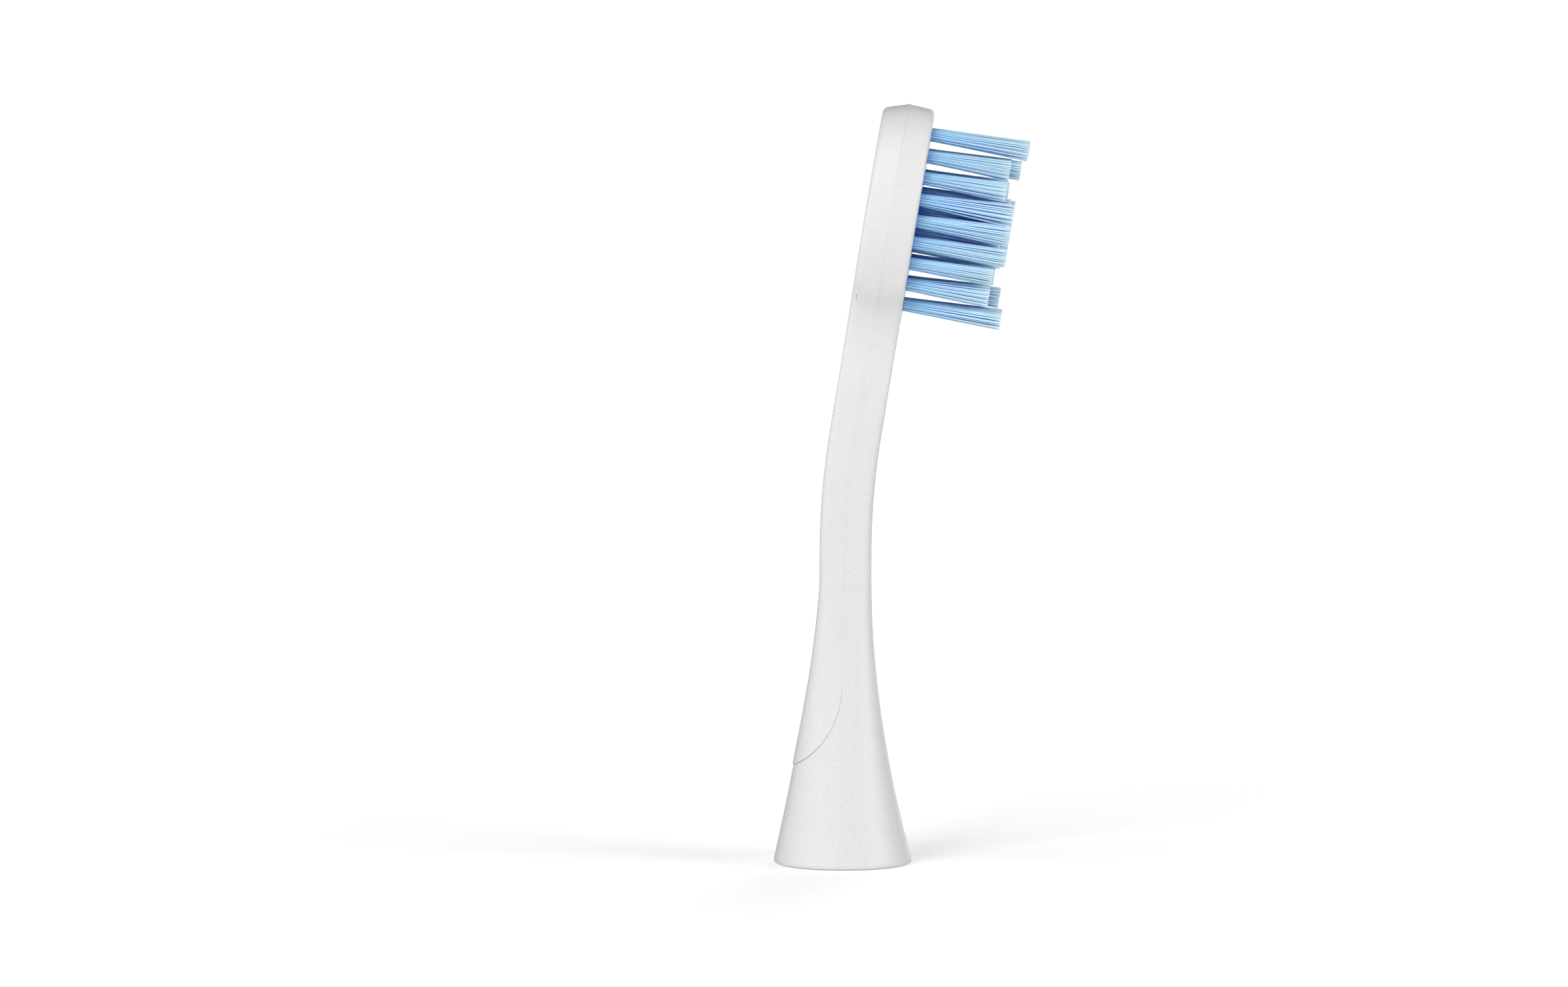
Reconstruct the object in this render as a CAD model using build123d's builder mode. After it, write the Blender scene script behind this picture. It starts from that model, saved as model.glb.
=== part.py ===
from build123d import *
import os
from math import cos, dist, radians, sin, tan

# Push-on head of an electric toothbrush: flared skirt, bent neck, oval head plate and stapled tufts.
# Millimetres and degrees. The origin is the centre of the skirt's bottom rim, +Z runs up the skirt's axis
# and the tufts face -Y. The neck bends towards the tufts, so the head leans over its own face.

# Overall form of the moulding
total_height = 80.0
base_diameter = 14.7
base_edge_radius = 0.4
base_edge_turns = (0, 45, 90)
base_flat = 0.22
flare_height = 30.0
flare_power_sides = 1.9
flare_power_front = 1.85
flare_power_back = 1.4
flare_round_power = 3.0
flare_stations = 8

# Neck, with its depths measured from the parting line that runs up both sides
stem_width = 4.75
stem_front = 2.75
stem_back = 2.7
stem_corner_radius = 1.4
stem_stations = 8
neck_width = 5.0
neck_straight = 5.6
bend_radius = 80.0
lean = 9.4
parting_shift = 0.25

# Draft of the two mould halves, on the neck, at the rim and at the head's end, and the bead where they meet
front_draft = 4.0
back_draft = 9.0
base_draft = 1.0
back_end_draft = 17.0
bead_height = 0.05
bead_reach = 0.08

# Head plate
head_length = 23.6
head_width = 12.0
shoulder_angle = 50.0
shoulder_length = 3.2
joint_length = 2.5
front_rim_radius = 0.6
back_rim_radius = 0.7

# Raised tongue on the back of the skirt
tongue_top = 19.0
tongue_radius = 9.55
tongue_step = 0.14
tongue_fade = 0.03
tongue_stations = 4

# Tuft field: its margins from the plate's edge, then one quarter of it, each tuft with its shares
# of the way across and along to the margins and its free length
tuft_side_margin = 2.4
tuft_end_margin = 2.8
tuft_quarter = [
    (0.31, 1.00, 10.4),
    (0.00, 0.75, 9.9),
    (0.65, 0.75, 8.8),
    (0.33, 0.505, 9.0),
    (0.89, 0.50, 8.8),
    (0.35, 0.305, 9.4),
    (0.97, 0.25, 9.9),
    (0.475, 0.11, 9.0),
    (0.00, 0.00, 8.7),
    (1.00, 0.00, 9.9),
]
tuft_hole_diameter = 1.4
tuft_hole_depth = 3.2
tuft_hole_wall = 0.1
tuft_clearance = 0.02
tuft_tip_diameter = 2.2
tuft_tip_gap = 0.06
tuft_tip_bevel = 0.35
tuft_flutes = 8
tuft_flute_depth = 0.1

# Brass plates that hold the folded tufts
staple_thickness = 0.25
staple_height = 1.3
staple_lift = 0.6
staple_clearance = 0.04

# Socket for the drive shaft, stepped inwards from the rim
shaft_diameter = 3.4
key_diameter = 3.0
key_flat = 1.05
key_length = 6.2
mouth_recess = 0.2
mouth_chamfer = 0.2
skirt_wall = 2.05
flange_end = 3.2
collar_step = 1.3
collar_end = 7.5
sleeve_diameter = 4.8
sleeve_end = 17.0
sleeve_cap = 0.8
insert_clearance = 0.03

# Leaf spring behind the flat of the shaft's key
spring_thickness = 0.25
spring_width = 1.8
spring_length = 5.2
spring_tab = 0.7
spring_preload = 0.1
spring_clearance = 0.04

# Places that follow from the sizes above
base_radius = base_diameter / 2
shoulder_reach = head_length / 2 + shoulder_length
joint_reach = shoulder_reach + joint_length
head_centre_z = total_height - (head_length / 2 + bead_height) * cos(radians(lean))
bend_length = bend_radius * radians(lean)
bend_end = head_centre_z - (neck_straight + joint_reach) * cos(radians(lean))
bend_start = bend_end - bend_radius * sin(radians(lean))
joint_distance = bend_start + bend_length + neck_straight
head_distance = joint_distance + joint_reach
mould_drafts = (front_draft, back_draft)
rim_radii = (front_rim_radius, back_rim_radius)


def between(start, end, share):
    return start + (end - start) * share


def spine_plane(distance):
    """Section plane at a distance along the parting line: x across, y to the back, z up the neck."""
    turned = min(max((distance - bend_start) / bend_radius, 0), radians(lean))
    straight = max(distance - bend_start - bend_length, 0)
    forward = bend_radius * (1 - cos(turned)) + straight * sin(turned)
    height = min(distance, bend_start) + bend_radius * sin(turned) + straight * cos(turned)
    origin = (0, -parting_shift - forward, height)
    return Plane(origin, x_dir=(1, 0, 0), z_dir=(0, -sin(turned), cos(turned)))


def section(plane, half_width, front, back, corners, drafts, set_back=0):
    """Two drafted halves that meet in a fine bead at the parting line, with rounded outer corners."""
    front_slope, back_slope = [tan(radians(draft)) for draft in drafts]
    right = [
        (half_width - front * front_slope, set_back - front),
        (half_width - bead_reach * front_slope, set_back - bead_reach),
        (half_width + bead_height, set_back),
        (half_width - bead_reach * back_slope, set_back + bead_reach),
        (half_width - back * back_slope, set_back + back),
    ]
    left = [(-x, y) for x, y in reversed(right)]
    with BuildSketch(plane) as outline:
        with BuildLine():
            Polyline(*right, *left, close=True)
        make_face()
        fillet(outline.vertices().sort_by(Axis.Y)[:2], corners[0])
        fillet(outline.vertices().sort_by(Axis.Y)[-2:], corners[1])
    return outline.sketch


def flare_section(height, grow=0):
    """Section of the skirt: nearly round at the rim, square with round corners where the neck starts."""
    spread = 1 - height / flare_height
    half_width = between(stem_width / 2, base_radius, spread**flare_power_sides) + grow
    front = between(stem_front, base_radius, spread**flare_power_front) + grow
    back = between(stem_back, base_radius, spread**flare_power_back) + grow
    corner = between(half_width - base_flat, stem_corner_radius, (1 - spread) ** flare_round_power)
    drafts = [between(draft, base_draft, spread) for draft in mould_drafts]
    plane = spine_plane(height)
    return section(plane, half_width, front, back, (corner, corner), drafts, parting_shift * spread)


def base_edge_section(turn):
    """Section of the rounded bottom edge, where its arc has turned so far up from the floor."""
    rise = base_edge_radius * (1 - cos(radians(turn)))
    inset = base_edge_radius * (1 - sin(radians(turn)))
    return flare_section(rise, -inset)


def neck_section(share):
    """Section of the neck, from the top of the flare to its joint with the head plate."""
    plane = spine_plane(between(flare_height, joint_distance, share))
    half_width = between(stem_width, neck_width, share) / 2
    corners = [between(stem_corner_radius, radius, share) for radius in rim_radii]
    return section(plane, half_width, stem_front, stem_back, corners, mould_drafts)


# The head's own plane lies at the parting line: x across, y up the head, z out of the bristle face
head_plane = Plane(
    spine_plane(head_distance).origin,
    x_dir=(1, 0, 0),
    z_dir=(0, -cos(radians(lean)), -sin(radians(lean))),
)
face_plane = head_plane.offset(stem_front)
out_of_face = Axis(head_plane.origin, head_plane.z_dir)
up_the_head = Axis(head_plane.origin, head_plane.y_dir)


def head_outline(depth, draft=0, end_draft=0, grow=0):
    """Oval with shoulders that run into the neck, drawn in at its depth by the draft of its sides and end."""
    inset = abs(depth) * tan(radians(draft)) - grow
    end_inset = abs(depth) * tan(radians(end_draft)) - grow
    half_neck = neck_width / 2 - inset
    with BuildSketch(head_plane.offset(depth)) as outline:
        with BuildLine():
            oval = EllipticalCenterArc(
                (0, 0),
                head_width / 2 - inset,
                head_length / 2 - end_inset,
                -shoulder_angle,
                arc_size=180 + 2 * shoulder_angle,
            )
            left = Spline(oval @ 1, (-half_neck, -shoulder_reach), tangents=(oval % 1, (0, -1)))
            right = Spline(oval @ 0, (half_neck, -shoulder_reach), tangents=(-(oval % 0), (0, -1)))
            Polyline(left @ 1, (-half_neck, -joint_reach), (half_neck, -joint_reach), right @ 1)
        make_face()
    return outline.sketch


def tuft_places():
    """Across, along and free length of every tuft that keeps a wall to the others, from the top row down."""
    reach_across = head_width / 2 - tuft_side_margin
    reach_along = head_length / 2 - tuft_end_margin
    pitch = tuft_hole_diameter + tuft_hole_wall
    places = []
    for across, along, length in tuft_quarter:
        for side in (-reach_across, reach_across):
            for end in (-reach_along, reach_along):
                point = (side * across, end * along)
                if all(dist(point, place[:2]) >= pitch for place in places):
                    places.append((*point, length))
    return sorted(places, key=lambda place: (-place[1], place[0]))


tufts = tuft_places()
tuft_points = [place[:2] for place in tufts]

# Raised tongue: the skirt's own section grown a little, kept behind the parting line above a round edge
with BuildPart() as tongue:
    tongue_shares = [step / (tongue_stations - 1) for step in range(tongue_stations)]
    loft(
        [
            flare_section(
                between(tongue_top - tongue_radius, tongue_top, share),
                between(tongue_step, tongue_fade, share),
            )
            for share in tongue_shares
        ]
    )
    with BuildSketch(Plane.YZ):
        with BuildLine():
            edge = CenterArc((tongue_radius, tongue_top), tongue_radius, 180, 90)
            Polyline(
                edge @ 1,
                (base_diameter, tongue_top - tongue_radius),
                (base_diameter, tongue_top),
                edge @ 0,
            )
        make_face()
    extrude(amount=base_diameter, both=True, mode=Mode.INTERSECT)

# Steps of the socket: radius and end of each
flange_radius = base_radius - skirt_wall
collar_radius = flange_radius - collar_step
sleeve_radius = sleeve_diameter / 2
socket_steps = [(flange_radius, flange_end), (collar_radius, collar_end), (sleeve_radius, sleeve_end)]

# Body: head plate in two drafted halves, neck and skirt in one loft, then the tongue, socket and tuft holes
with BuildPart() as brush_body:
    parting_outline = head_outline(0, grow=bead_height)
    front_outlines = [head_outline(depth, front_draft, front_draft) for depth in (bead_reach, stem_front)]
    loft([parting_outline, *front_outlines], ruled=True)
    back_outlines = [head_outline(-depth, back_draft, back_end_draft) for depth in (bead_reach, stem_back)]
    loft([parting_outline, *back_outlines], ruled=True)
    front_rim = brush_body.faces().sort_by(out_of_face)[-1].edges()
    fillet(front_rim.sort_by(up_the_head)[1:], front_rim_radius)
    back_rim = brush_body.faces().sort_by(out_of_face)[0].edges()
    fillet(back_rim.sort_by(up_the_head)[1:], back_rim_radius)

    flare_shares = [step / flare_stations for step in range(flare_stations)]
    neck_shares = [step / stem_stations for step in range(stem_stations + 1)]
    loft(
        [flare_section(between(base_edge_radius, flare_height, share)) for share in flare_shares]
        + [neck_section(share) for share in neck_shares]
    )
    loft([base_edge_section(turn) for turn in base_edge_turns], ruled=True)
    add(tongue.part)

    for radius, end in socket_steps:
        with BuildSketch(Plane.XY):
            Circle(radius)
        extrude(amount=end, mode=Mode.SUBTRACT)

    with BuildSketch(face_plane):
        with Locations(*tuft_points):
            Circle(tuft_hole_diameter / 2)
    extrude(amount=-tuft_hole_depth, mode=Mode.SUBTRACT)

# Heights in the sleeve, from its closed end down
key_end = sleeve_end - sleeve_cap
key_start = key_end - key_length
spring_middle = (key_start + key_end) / 2
spring_bottom = spring_middle - spring_length / 2
spring_top = spring_middle + spring_length / 2
bow_start = spring_bottom + spring_tab
bow_end = spring_top - spring_tab

# Depths of the leaf, from the axis to the back
spring_back = (sleeve_radius**2 - (spring_width / 2) ** 2) ** 0.5 - spring_clearance
spring_face = spring_back - spring_thickness
bow_face = key_flat - spring_preload

# Acetal sleeve that takes the drive shaft: round bore at the mouth, narrower flat-sided key bore above it
with BuildPart() as shaft_insert:
    with BuildSketch(Plane.XZ):
        with BuildLine():
            Polyline(
                (0, mouth_recess),
                (flange_radius - insert_clearance, mouth_recess),
                (flange_radius - insert_clearance, flange_end),
                (collar_radius - insert_clearance, flange_end),
                (collar_radius - insert_clearance, collar_end - insert_clearance),
                (sleeve_radius - insert_clearance, collar_end - insert_clearance),
                (sleeve_radius - insert_clearance, sleeve_end - insert_clearance),
                (0, sleeve_end - insert_clearance),
                close=True,
            )
        make_face()
    revolve(axis=Axis.Z)
    with BuildSketch(Plane.XY.offset(mouth_recess)):
        Circle(shaft_diameter / 2)
    extrude(amount=key_start - mouth_recess, mode=Mode.SUBTRACT)
    mouth = shaft_insert.faces().sort_by(Axis.Z)[0].edges().sort_by(SortBy.RADIUS)[0]
    chamfer(mouth, mouth_chamfer)
    with BuildSketch(Plane.XY.offset(key_start)):
        Circle(key_diameter / 2)
        with Locations((0, key_flat)):
            Rectangle(key_diameter, key_diameter, align=(Align.CENTER, Align.MIN), mode=Mode.SUBTRACT)
    extrude(amount=key_length, mode=Mode.SUBTRACT)
    # Seat for the leaf's ends, open to the outside, and the window through which its bow reaches the flat
    seat_length = spring_length + 2 * spring_clearance
    with BuildSketch(Plane.YZ):
        with Locations((spring_face - spring_clearance, spring_middle)):
            Rectangle(sleeve_diameter, seat_length, align=(Align.MIN, Align.CENTER))
        with Locations((0, spring_middle)):
            Rectangle(sleeve_diameter, bow_end - bow_start, align=(Align.MIN, Align.CENTER))
    extrude(amount=spring_width / 2 + spring_clearance, both=True, mode=Mode.SUBTRACT)

# Leaf spring: flat ends on the seat, bowed in between until it bears on the flat of the shaft's key
with BuildPart() as spring_clip:
    with BuildSketch(Plane.YZ):
        with BuildLine():
            outer_bow = ThreePointArc(
                (spring_back, bow_start),
                (bow_face + spring_thickness, spring_middle),
                (spring_back, bow_end),
            )
            inner_bow = ThreePointArc(
                (spring_face, bow_start),
                (bow_face, spring_middle),
                (spring_face, bow_end),
            )
            Polyline(outer_bow @ 0, (spring_back, spring_bottom), (spring_face, spring_bottom), inner_bow @ 0)
            Polyline(outer_bow @ 1, (spring_back, spring_top), (spring_face, spring_top), inner_bow @ 1)
        make_face()
    extrude(amount=spring_width / 2, both=True)

# Anchor plates across the roots of the tufts
staple_foot = staple_lift - tuft_hole_depth
with BuildPart() as anchor_staples:
    with BuildSketch(face_plane.offset(staple_foot)):
        with Locations(*tuft_points):
            Rectangle(tuft_hole_diameter - 2 * staple_clearance, staple_thickness)
    extrude(amount=staple_height)


def bundle_section(height, place, radius):
    """Fluted outline of a bundle of filaments, at a height above the face."""
    points = []
    for corner in range(2 * tuft_flutes):
        reach = radius * (1 - tuft_flute_depth * (corner % 2))
        turn = radians(180 / tuft_flutes * corner)
        points.append((reach * cos(turn), reach * sin(turn)))
    with BuildSketch(face_plane.offset(height)) as outline:
        with Locations(place):
            Polygon(*points, align=None)
    return outline.sketch


os.makedirs("parts", exist_ok=True)
for piece, name in (
    (brush_body, "brush_body"),
    (shaft_insert, "shaft_insert"),
    (spring_clip, "spring_clip"),
    (anchor_staples, "anchor_staples"),
):
    piece.part.label = name
    export_step(piece.part, f"parts/{name}.step")

# Tufts: each fills its hole, folds round its anchor plate and spreads to a rounded tip
root_radius = tuft_hole_diameter / 2 - tuft_clearance
for number, (across, along, length) in enumerate(tufts, start=1):
    place = (across, along)
    nearest = min(dist(place, other) for other in tuft_points if other != place)
    tip_radius = min(tuft_tip_diameter, nearest - tuft_tip_gap) / 2
    with BuildPart() as tuft:
        loft(
            [
                bundle_section(tuft_clearance - tuft_hole_depth, place, root_radius),
                bundle_section(0, place, root_radius),
                bundle_section(length - tuft_tip_bevel, place, tip_radius),
                bundle_section(length, place, tip_radius - tuft_tip_bevel),
            ],
            ruled=True,
        )
        with BuildSketch(face_plane.offset(staple_foot - tuft_clearance)):
            with Locations(place):
                Rectangle(tuft_hole_diameter, staple_thickness + 2 * tuft_clearance)
        extrude(amount=staple_height + 2 * tuft_clearance, mode=Mode.SUBTRACT)
    tuft.part.label = f"tuft_{number:02d}"
    export_step(tuft.part, f"parts/tuft_{number:02d}.step")
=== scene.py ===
import random
from math import cos, pi, radians, sin, sqrt

import bpy
import numpy as np
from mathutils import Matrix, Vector


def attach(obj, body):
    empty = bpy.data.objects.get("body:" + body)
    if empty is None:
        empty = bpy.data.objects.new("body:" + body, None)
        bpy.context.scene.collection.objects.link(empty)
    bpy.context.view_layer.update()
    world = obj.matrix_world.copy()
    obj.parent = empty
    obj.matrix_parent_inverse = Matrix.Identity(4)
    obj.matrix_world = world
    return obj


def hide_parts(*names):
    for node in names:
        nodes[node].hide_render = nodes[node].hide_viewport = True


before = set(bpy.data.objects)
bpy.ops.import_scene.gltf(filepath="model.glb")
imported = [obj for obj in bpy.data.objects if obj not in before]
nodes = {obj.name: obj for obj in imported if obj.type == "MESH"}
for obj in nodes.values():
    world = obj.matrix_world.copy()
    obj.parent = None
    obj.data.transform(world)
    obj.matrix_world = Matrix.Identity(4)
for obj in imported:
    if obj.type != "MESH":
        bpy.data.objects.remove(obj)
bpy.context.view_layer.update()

# A push-on toothbrush head, in metres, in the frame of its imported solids
mm = 0.001
seed = 7

# Camera, set by the picture's width in pixels and the size of one pixel at the object
picture_width = 2408
pixel_size = 0.06849 * mm
camera_distance = 0.9
camera_elevation = radians(5.0)
camera_turn = radians(2.2)
camera_aim = Vector((0.0, 6.2 * mm, 38.98 * mm))
camera_clip_start = 0.01
sensor_width = 36.0

# Floor: its width, its drop below the rim, and its glow to the eye under the object and far off
floor_width = 12.0
floor_drop = 0.02 * mm
glow_near = 0.36
glow_far = 0.96
glow_reach = 0.7

# Lamps: the place and watts of each square softbox, and the little light that the room gives
softbox_width = 0.4
softboxes = {
    "key_softbox": ((-0.6, 0.38, 0.5), 3.45),
    "back_softbox": ((-0.25, 0.7, 0.22), 1.9),
    "front_softbox": ((-0.28, -0.7, 0.22), 3.3),
    "far_softbox": ((0.75, -0.2, 0.15), 2.8),
}
room_light = 0.05

# Field of tufts: the height of its foot, and the stretch over which the painted blue shade on its
# face fades below that
field_foot = 56 * mm
field_fade = 2 * mm

# Tufts: the way they lean out of the face, how deep they sit, and the slices that show their ends
lean = radians(9.4)
tuft_axis = Vector((0.0, -cos(lean), -sin(lean)))
up_the_face = Vector((0.0, -sin(lean), cos(lean)))
across_the_face = Vector((1.0, 0.0, 0.0))
hole_depth = 3.18 * mm
hole_radius = 0.68 * mm
root_slice = 0.1 * mm
tip_slice = 0.6 * mm

# Filaments: their shape, with the tip as shares of their length and width, and how they lie
filament_radius = 0.084 * mm
filament_count = 60
filament_sides = 6
filament_cuts = 4
filament_smoothing = radians(50)
tip_height = 0.005
tip_steps = ((0.6, 0.8), (0.4, 0.55))
packing_turn = pi * (3 - sqrt(5))
fan_spread = (0.92, 1.15)
bow_limit = 0.3
trim_margin = 0.1 * mm
trim_unevenness = 0.05 * mm
tip_wander = 0.05 * mm
stray_share = 0.04
stray_wander = 0.22 * mm


def linear(hex_colour):
    """sRGB hex text as linear red, green, blue and alpha."""
    channels = [int(hex_colour[i : i + 2], 16) / 255 for i in (1, 3, 5)]
    lit = [c / 12.92 if c <= 0.04045 else ((c + 0.055) / 1.055) ** 2.4 for c in channels]
    return (*lit, 1.0)


def add_node(tree, kind, settings=None, inputs=None):
    """Adds a node, sets its properties, and sets or links its inputs."""
    made = tree.nodes.new(kind)
    for name, value in (settings or {}).items():
        setattr(made, name, value)
    for name, value in (inputs or {}).items():
        if isinstance(value, bpy.types.NodeSocket):
            tree.links.new(value, made.inputs[name])
        else:
            made.inputs[name].default_value = value
    return made


def new_material(name, values):
    """A material with its shader's constant values set; returns it with its tree and shader."""
    made = bpy.data.materials.new(name)
    made.use_nodes = True
    shader = made.node_tree.nodes["Principled BSDF"]
    for socket, value in values.items():
        shader.inputs[socket].default_value = value
    return made, made.node_tree, shader


def painted_filament_shade(tree, colour, share, reach, shade_colour, deep, open_air):
    """A colour with painted shade: darkened and tinted toward the shade colour where other surfaces
    stand within reach of it, in place of light that has come through filaments.

    Deep and open_air are the parts of the surroundings left open where the painted shade is full
    and nil.
    """
    room = add_node(tree, "ShaderNodeAmbientOcclusion", {"samples": 4}, {"Distance": reach})
    depth = add_node(tree, "ShaderNodeValToRGB", inputs={"Fac": room.outputs["AO"]})
    depth.color_ramp.elements[0].position = deep
    depth.color_ramp.elements[0].color = linear(shade_colour)
    depth.color_ramp.elements[1].position = open_air
    depth.color_ramp.elements[1].color = (1, 1, 1, 1)
    # Sockets 0, 6 and 7 are this node's factor and its two colours, and output 2 is its colour
    painted_shade_mix = add_node(
        tree,
        "ShaderNodeMix",
        {"data_type": "RGBA", "blend_type": "MULTIPLY"},
        {0: share, 6: colour, 7: depth.outputs["Color"]},
    )
    return painted_shade_mix.outputs[2]


def moulded_abs():
    """White ABS from a mould with a fine spark-eroded grain: matt, with a soft broken highlight."""
    made, tree, shader = new_material("moulded_abs", {"IOR": 1.53})
    place = add_node(tree, "ShaderNodeTexCoord")
    # The real grain is about 0.1 mm; it is drawn at 0.16 mm so that it shows at this distance
    grain_width = 0.16 * mm
    grain = add_node(
        tree,
        "ShaderNodeTexNoise",
        inputs={"Vector": place.outputs["Object"], "Scale": 1 / grain_width, "Detail": 3.0},
    )
    bump = add_node(
        tree,
        "ShaderNodeBump",
        inputs={"Height": grain.outputs["Fac"], "Distance": 0.02 * mm, "Strength": 0.6},
    )
    # Flow of the melt leaves faint clouds some millimetres wide
    cloud_width = 9 * mm
    clouds = add_node(
        tree,
        "ShaderNodeTexNoise",
        inputs={"Vector": place.outputs["Object"], "Scale": 1 / cloud_width, "Detail": 2.0},
    )
    mixed = add_node(
        tree,
        "ShaderNodeMath",
        {"operation": "MULTIPLY_ADD"},
        {0: clouds.outputs["Fac"], 1: 0.2, 2: grain.outputs["Fac"]},
    )
    tint = add_node(tree, "ShaderNodeValToRGB", inputs={"Fac": mixed.outputs["Value"]})
    tint.color_ramp.elements[0].position = 0.35
    tint.color_ramp.elements[0].color = linear("#E4E4E4")
    tint.color_ramp.elements[1].position = 0.85
    tint.color_ramp.elements[1].color = linear("#F2F2F2")
    # Painted shade: the colour is darkened toward the edges, where the surface is seen at a
    # glancing angle
    glance = add_node(tree, "ShaderNodeLayerWeight", inputs={"Blend": 0.5})
    painted_edge_shade = add_node(tree, "ShaderNodeValToRGB", inputs={"Fac": glance.outputs["Facing"]})
    painted_edge_shade.color_ramp.elements[0].position = 0.08
    painted_edge_shade.color_ramp.elements[0].color = (1, 1, 1, 1)
    painted_edge_shade.color_ramp.elements[1].position = 1.0
    painted_edge_shade.color_ramp.elements[1].color = (0.22, 0.22, 0.22, 1)
    for position, share in ((0.5, 0.87), (0.75, 0.68), (0.92, 0.5)):
        painted_edge_shade.color_ramp.elements.new(position).color = (share, share, share, 1)
    shaded = add_node(
        tree,
        "ShaderNodeHueSaturation",
        inputs={"Color": tint.outputs["Color"], "Value": painted_edge_shade.outputs["Color"]},
    )
    # Painted blue shade: the face between the roots of the tufts is darkened and tinted blue where
    # filaments stand close; the rest of the moulding doesn't get it
    height = add_node(tree, "ShaderNodeSeparateXYZ", inputs={"Vector": place.outputs["Object"]})
    in_field = add_node(
        tree,
        "ShaderNodeMapRange",
        inputs={
            "Value": height.outputs["Z"],
            "From Min": field_foot - field_fade,
            "From Max": field_foot,
        },
    )
    colour = painted_filament_shade(
        tree, shaded.outputs["Color"], in_field.outputs["Result"], 2.0 * mm, "#2E55C0", 0.2, 0.6
    )
    rough = add_node(
        tree,
        "ShaderNodeMapRange",
        inputs={"Value": grain.outputs["Fac"], "To Min": 0.42, "To Max": 0.58},
    )
    tree.links.new(colour, shader.inputs["Base Color"])
    tree.links.new(rough.outputs["Result"], shader.inputs["Roughness"])
    tree.links.new(bump.outputs["Normal"], shader.inputs["Normal"])
    return made


def nylon_filament():
    """Blue nylon monofilament, drawn and cut: satin, with painted deep-blue shade where the
    filaments crowd, paler at its tip.
    """
    made, tree, shader = new_material(
        "nylon_filament", {"IOR": 1.53, "Roughness": 0.4, "Specular IOR Level": 0.04}
    )
    # The strand map holds each filament's own shade in X, and the way from its hole to its tip in Y
    strand = add_node(tree, "ShaderNodeUVMap", {"uv_map": "strand"})
    parts = add_node(tree, "ShaderNodeSeparateXYZ", inputs={"Vector": strand.outputs["UV"]})
    along = add_node(tree, "ShaderNodeValToRGB", inputs={"Fac": parts.outputs["Y"]})
    ramp = along.color_ramp
    ramp.elements[0].position = 0.0
    ramp.elements[0].color = linear("#B4E5FF")
    ramp.elements[1].position = 1.0
    ramp.elements[1].color = linear("#E4F7FF")
    for position, colour in ((0.45, "#C8F0FF"), (0.9, "#D6F5FF")):
        ramp.elements.new(position).color = linear(colour)
    # Filaments differ a little in shade, as drawn yarn does
    value = add_node(
        tree,
        "ShaderNodeMapRange",
        inputs={"Value": parts.outputs["X"], "To Min": 0.97, "To Max": 1.08},
    )
    shade = add_node(
        tree,
        "ShaderNodeHueSaturation",
        inputs={
            "Color": along.outputs["Color"],
            "Saturation": 1.05,
            "Value": value.outputs["Result"],
        },
    )
    # The painted deep-blue shade is full over the inner half of a filament and weakens toward its
    # tip, which stands more in the open
    share = add_node(
        tree,
        "ShaderNodeMapRange",
        inputs={"Value": parts.outputs["Y"], "From Min": 0.5, "To Min": 1.0, "To Max": 0.15},
    )
    colour = painted_filament_shade(
        tree, shade.outputs["Color"], share.outputs["Result"], 1.5 * mm, "#0C48FF", 0.17, 0.34
    )
    tree.links.new(colour, shader.inputs["Base Color"])
    return made


def natural_acetal():
    """Unfilled acetal, moulded smooth: off-white, with a waxy sheen."""
    made, tree, shader = new_material("natural_acetal", {"IOR": 1.48})
    place = add_node(tree, "ShaderNodeTexCoord")
    flow_width = 2.5 * mm
    flow = add_node(
        tree,
        "ShaderNodeTexNoise",
        inputs={"Vector": place.outputs["Object"], "Scale": 1 / flow_width, "Detail": 2.0},
    )
    tint = add_node(tree, "ShaderNodeValToRGB", inputs={"Fac": flow.outputs["Fac"]})
    tint.color_ramp.elements[0].color = linear("#DCDCD6")
    tint.color_ramp.elements[1].color = linear("#E6E6E1")
    rough = add_node(
        tree,
        "ShaderNodeMapRange",
        inputs={"Value": flow.outputs["Fac"], "To Min": 0.28, "To Max": 0.4},
    )
    tree.links.new(tint.outputs["Color"], shader.inputs["Base Color"])
    tree.links.new(rough.outputs["Result"], shader.inputs["Roughness"])
    return made


def rolled_metal(name, colour, dark_colour, roughness):
    """Cold rolled strip: bright metal with fine lines along the way it was rolled."""
    made, tree, shader = new_material(name, {"Metallic": 1.0})
    place = add_node(tree, "ShaderNodeTexCoord")
    line_width = 0.08 * mm
    stretch = add_node(
        tree,
        "ShaderNodeMapping",
        inputs={"Vector": place.outputs["Object"], "Scale": (1.0, 1.0, 0.05)},
    )
    lines = add_node(
        tree,
        "ShaderNodeTexNoise",
        inputs={"Vector": stretch.outputs["Vector"], "Scale": 1 / line_width, "Detail": 2.0},
    )
    tint = add_node(tree, "ShaderNodeValToRGB", inputs={"Fac": lines.outputs["Fac"]})
    tint.color_ramp.elements[0].color = linear(dark_colour)
    tint.color_ramp.elements[1].color = linear(colour)
    rough = add_node(
        tree,
        "ShaderNodeMapRange",
        inputs={"Value": lines.outputs["Fac"], "To Min": roughness, "To Max": roughness + 0.15},
    )
    tree.links.new(tint.outputs["Color"], shader.inputs["Base Color"])
    tree.links.new(rough.outputs["Result"], shader.inputs["Roughness"])
    return made


def dress(piece, material):
    """Gives a piece its finish."""
    piece.data.materials.clear()
    piece.data.materials.append(material)


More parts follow.
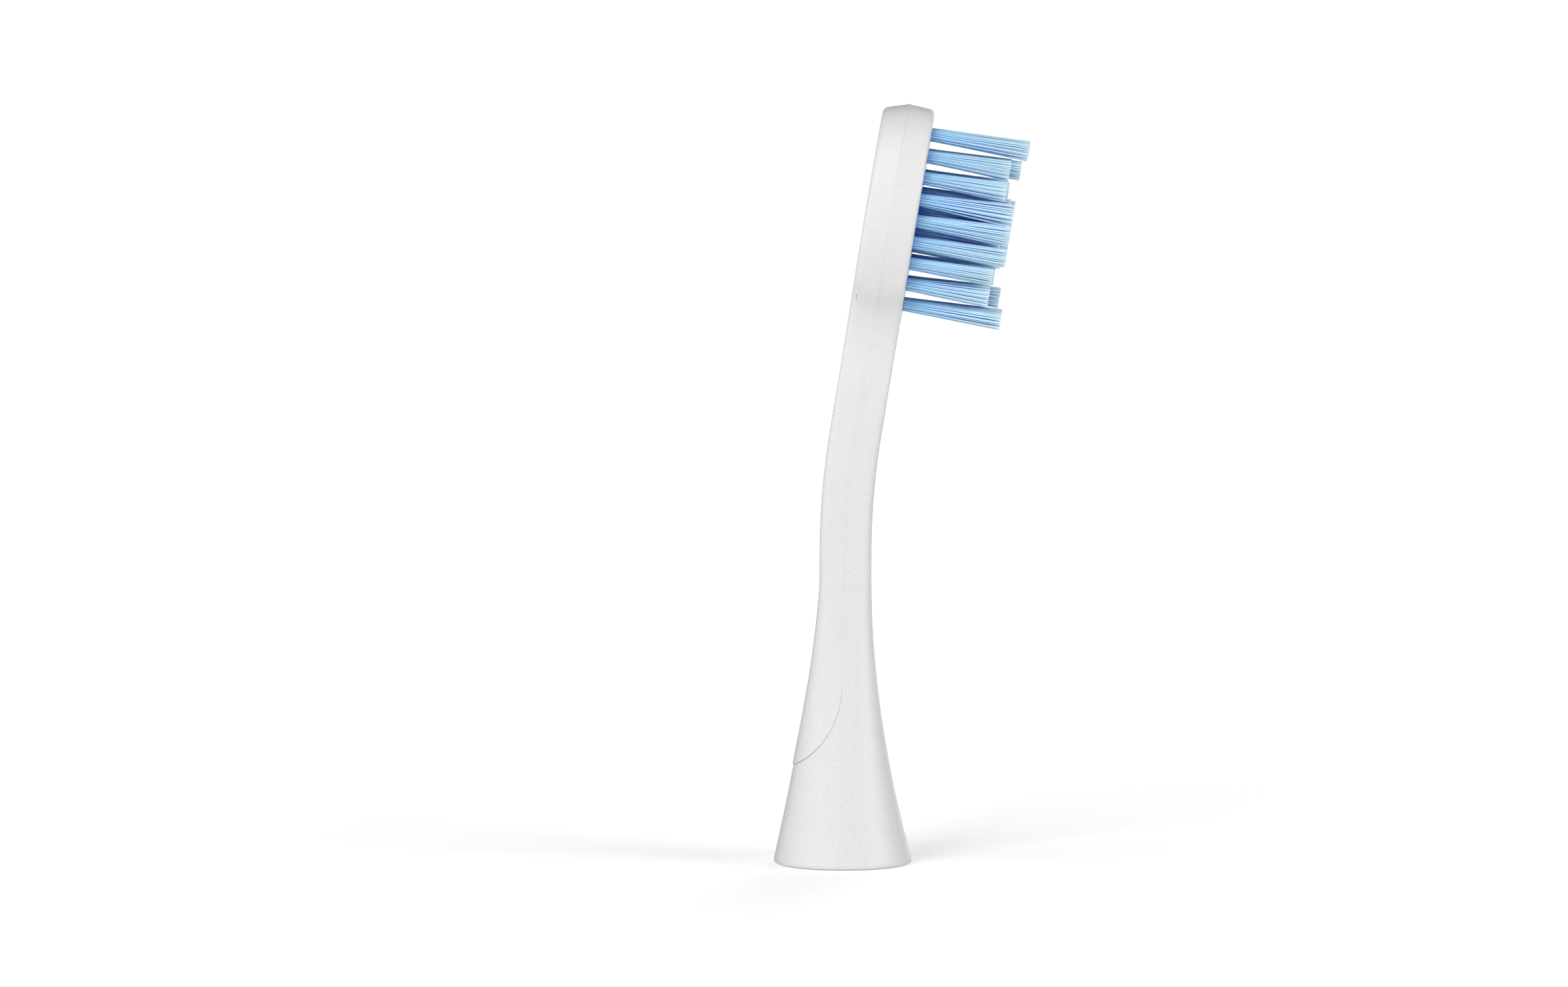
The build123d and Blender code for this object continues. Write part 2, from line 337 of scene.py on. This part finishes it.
def model_filament():
    """One filament of unit length on +Z: a thin strand with cuts along it and a rounded tip."""
    bpy.ops.object.select_all(action="DESELECT")
    bpy.ops.mesh.primitive_cylinder_add(
        vertices=filament_sides, radius=filament_radius, depth=1.0, location=(0, 0, 0.5)
    )
    strand = bpy.context.object
    bpy.ops.object.transform_apply(location=True, rotation=False, scale=False)
    # Cuts across the edges that run along the strand let it bend
    bpy.ops.object.mode_set(mode="EDIT")
    bpy.ops.mesh.select_mode(type="EDGE")
    bpy.ops.mesh.select_all(action="DESELECT")
    bpy.ops.object.mode_set(mode="OBJECT")
    for edge in strand.data.edges:
        ends = [strand.data.vertices[i].co.z for i in edge.vertices]
        edge.select = abs(ends[0] - ends[1]) > 0.5
    bpy.ops.object.mode_set(mode="EDIT")
    bpy.ops.mesh.subdivide(number_cuts=filament_cuts)
    # The top face is drawn up in narrower steps to a rounded tip
    bpy.ops.mesh.select_mode(type="FACE")
    bpy.ops.mesh.select_all(action="DESELECT")
    bpy.ops.object.mode_set(mode="OBJECT")
    for face in strand.data.polygons:
        face.select = face.normal.z > 0.5
    bpy.ops.object.mode_set(mode="EDIT")
    for rise, width in tip_steps:
        bpy.ops.mesh.extrude_region_move(
            TRANSFORM_OT_translate={"value": (0, 0, rise * tip_height)}
        )
        bpy.ops.transform.resize(value=(width, width, 1))
    bpy.ops.object.mode_set(mode="OBJECT")
    bpy.ops.object.shade_smooth_by_angle(angle=filament_smoothing)
    strand.data.uv_layers[0].name = "strand"
    return strand


def tuft_ends(node):
    """Root centre, free length and tip radius of a tuft, read from its solid."""
    axis = np.array(tuft_axis)
    points = np.array([vertex.co for vertex in node.data.vertices])
    along = points @ axis
    root = points[along < along.min() + root_slice].mean(axis=0)
    tip_ring = points[along > along.max() - tip_slice]
    offset = tip_ring - tip_ring.mean(axis=0)
    tip_radius = np.linalg.norm(offset - np.outer(offset @ axis, axis), axis=1).max()
    return Vector(root), along.max() - along.min() - hole_depth, tip_radius


def bend_filament(shape, root, length, start, end, bow):
    """Points of a filament that rises straight in its hole, then runs out from start to end."""
    depth = shape[:, 2] * (hole_depth + length) - hole_depth
    free = np.clip(depth / length, 0, None)
    run = free + bow * free * (1 - free)
    side = start[0] + (end[0] - start[0]) * run + shape[:, 0]
    rise = start[1] + (end[1] - start[1]) * run + shape[:, 1]
    return (
        np.array(root)
        + np.outer(side, across_the_face)
        + np.outer(rise, up_the_face)
        + np.outer(depth + hole_depth, tuft_axis)
    )


def model_tuft(node, strand, material, number):
    """Fills a tuft's hole with filaments packed in a spiral, which fan out to trimmed tips."""
    dice = random.Random(seed + number)
    root, length, tip_radius = tuft_ends(node)
    shape = np.array([vertex.co for vertex in strand.data.vertices])
    loops = np.array([loop.vertex_index for loop in strand.data.loops])
    packed = hole_radius - filament_radius
    fan = (tip_radius - filament_radius) / packed * dice.uniform(*fan_spread)
    copies = []
    for i in range(filament_count):
        turn = i * packing_turn
        reach = packed * sqrt((i + 0.5) / filament_count)
        start = (reach * cos(turn), reach * sin(turn))
        stray = dice.random() < stray_share
        wander = stray_wander if stray else tip_wander
        end = [fan * value + dice.gauss(0, wander) for value in start]
        trimmed = length - trim_margin - abs(dice.gauss(0, trim_unevenness))
        bow = dice.uniform(-bow_limit, bow_limit)
        shade = dice.random()
        copy = strand.copy()
        copy.data = strand.data.copy()
        points = bend_filament(shape, root, trimmed, start, end, bow)
        copy.data.vertices.foreach_set("co", points.ravel())
        along = np.clip((shape[loops, 2] * (hole_depth + trimmed) - hole_depth) / trimmed, 0, 1)
        copy.data.uv_layers["strand"].data.foreach_set(
            "uv", np.column_stack([np.full(len(loops), shade), along]).ravel()
        )
        bpy.context.collection.objects.link(copy)
        copies.append(copy)
    bpy.ops.object.select_all(action="DESELECT")
    for copy in copies:
        copy.select_set(True)
    bpy.context.view_layer.objects.active = copies[0]
    bpy.ops.object.join()
    tuft = bpy.context.object
    tuft.name = f"filaments_{number:02d}"
    dress(tuft, material)
    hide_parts(node.name)
    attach(tuft, "root")


def aim(thing, target):
    """Turns a lamp or the camera to look at a point."""
    thing.rotation_mode = "QUATERNION"
    thing.rotation_quaternion = (target - thing.location).to_track_quat("-Z", "Y")


def add_softbox(name, place, watts):
    """A square soft lamp turned to the object."""
    bpy.ops.object.light_add(type="AREA", location=place)
    lamp = bpy.context.object
    lamp.name = name
    lamp.data.size = softbox_width
    lamp.data.energy = watts
    aim(lamp, camera_aim)


def white_to_the_eye(tree):
    """1 for rays from the camera, straight or by way of gloss or clear plastic, 0 for others."""
    path = add_node(tree, "ShaderNodeLightPath")
    gloss = add_node(
        tree,
        "ShaderNodeMath",
        {"operation": "MAXIMUM"},
        {0: path.outputs["Is Camera Ray"], 1: path.outputs["Is Glossy Ray"]},
    )
    seen = add_node(
        tree,
        "ShaderNodeMath",
        {"operation": "MAXIMUM"},
        {0: gloss.outputs["Value"], 1: path.outputs["Is Transmission Ray"]},
    )
    return seen.outputs["Value"]


def white_paper():
    """Matt uncoated paper, rolled smooth: plain white, with no shine."""
    made, tree, shader = new_material(
        "white_paper",
        {"Base Color": linear("#F4F4F4"), "Roughness": 0.9, "Emission Color": (1, 1, 1, 1)},
    )
    # Away from the lamps the paper glows more, so that it stays white and still shows the shadow
    place = add_node(tree, "ShaderNodeTexCoord")
    distance = add_node(
        tree, "ShaderNodeVectorMath", {"operation": "LENGTH"}, {0: place.outputs["Object"]}
    )
    glow = add_node(
        tree,
        "ShaderNodeMapRange",
        inputs={
            "Value": distance.outputs["Value"],
            "From Max": glow_reach,
            "To Min": glow_near,
            "To Max": glow_far,
        },
    )
    lift = add_node(
        tree,
        "ShaderNodeMath",
        {"operation": "MULTIPLY"},
        {0: white_to_the_eye(tree), 1: glow.outputs["Result"]},
    )
    tree.links.new(lift.outputs["Value"], shader.inputs["Emission Strength"])
    return made


def add_studio():
    """White paper floor, soft lamps round the object and a dim room that looks white."""
    bpy.ops.object.select_all(action="DESELECT")
    bpy.ops.mesh.primitive_plane_add(size=floor_width, location=(0, 0, -floor_drop))
    floor = bpy.context.object
    floor.name = "white_sweep"
    dress(floor, white_paper())

    world = bpy.data.worlds.new("white_room")
    bpy.context.scene.world = world
    world.use_nodes = True
    tree = world.node_tree
    room = tree.nodes["Background"]
    room.inputs["Color"].default_value = (1, 1, 1, 1)
    strength = add_node(
        tree,
        "ShaderNodeMapRange",
        inputs={"Value": white_to_the_eye(tree), "To Min": room_light, "To Max": 1.0},
    )
    tree.links.new(strength.outputs["Result"], room.inputs["Strength"])

    for name, (place, watts) in softboxes.items():
        add_softbox(name, place, watts)


def add_camera():
    """Camera in front of the object's left side, looking slightly down, as in the picture."""
    bpy.ops.object.camera_add()
    camera = bpy.context.object
    level = cos(camera_elevation)
    back = Vector((-level * cos(camera_turn), -level * sin(camera_turn), sin(camera_elevation)))
    camera.location = camera_aim + back * camera_distance
    camera.data.sensor_width = sensor_width
    camera.data.lens = sensor_width * camera_distance / (pixel_size * picture_width)
    camera.data.clip_start = camera_clip_start
    aim(camera, camera_aim)
    bpy.context.scene.camera = camera


add_camera()
add_studio()
dress(nodes["brush_body"], moulded_abs())
dress(nodes["shaft_insert"], natural_acetal())
dress(nodes["spring_clip"], rolled_metal("spring_steel", "#C9CCD0", "#9EA2A8", 0.25))
dress(nodes["anchor_staples"], rolled_metal("staple_brass", "#D9B25C", "#B18A3C", 0.3))

filament = model_filament()
nylon = nylon_filament()
tuft_names = sorted(name for name in nodes if name.startswith("tuft_"))
for number, name in enumerate(tuft_names, start=1):
    model_tuft(nodes[name], filament, nylon, number)
bpy.data.objects.remove(filament)

bpy.context.scene.view_settings.view_transform = "Standard"
